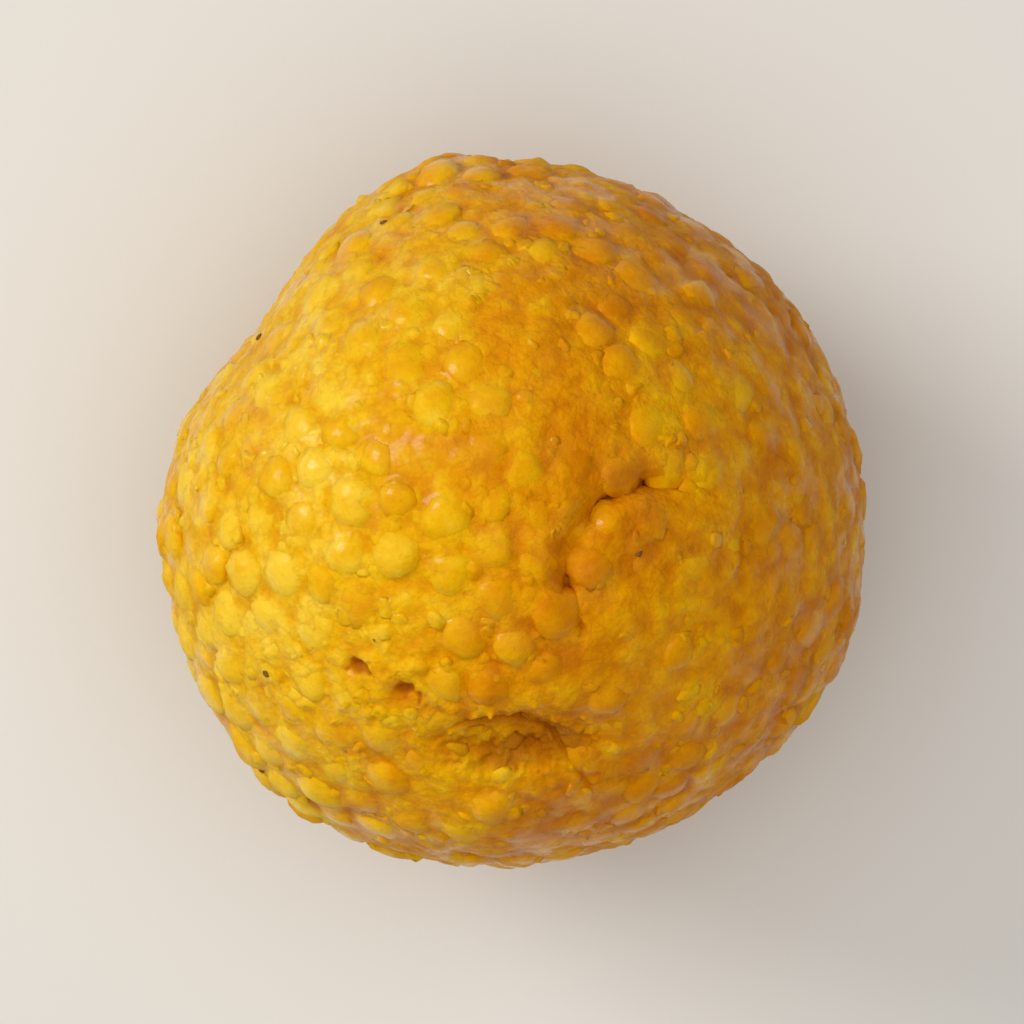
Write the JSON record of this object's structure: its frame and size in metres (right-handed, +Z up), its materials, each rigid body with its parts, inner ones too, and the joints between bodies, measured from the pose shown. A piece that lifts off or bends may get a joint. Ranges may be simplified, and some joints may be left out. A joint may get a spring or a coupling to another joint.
{
  "type": "boondi ladoo",
  "caption": "Hand-pressed round sweet of syrup-soaked fried gram-flour pearls, with a small flat spot to rest on.",
  "frame": {"origin": "middle of the flat spot that the ball rests on", "axes": "+Z up; +Y towards the lip and +X towards the pressed-on patch, as seen from above"},
  "size_m": [0.0431, 0.0434, 0.041],
  "materials": {
    "boondi": "golden-yellow fried gram-flour pearls with a thin, slightly glossy coat of syrup and ghee",
    "cardamom": "dark brown crushed cardamom seed, matt"
  },
  "bodies": {
    "root": {"boondi_ball": "boondi"}
  },
  "joints": []
}
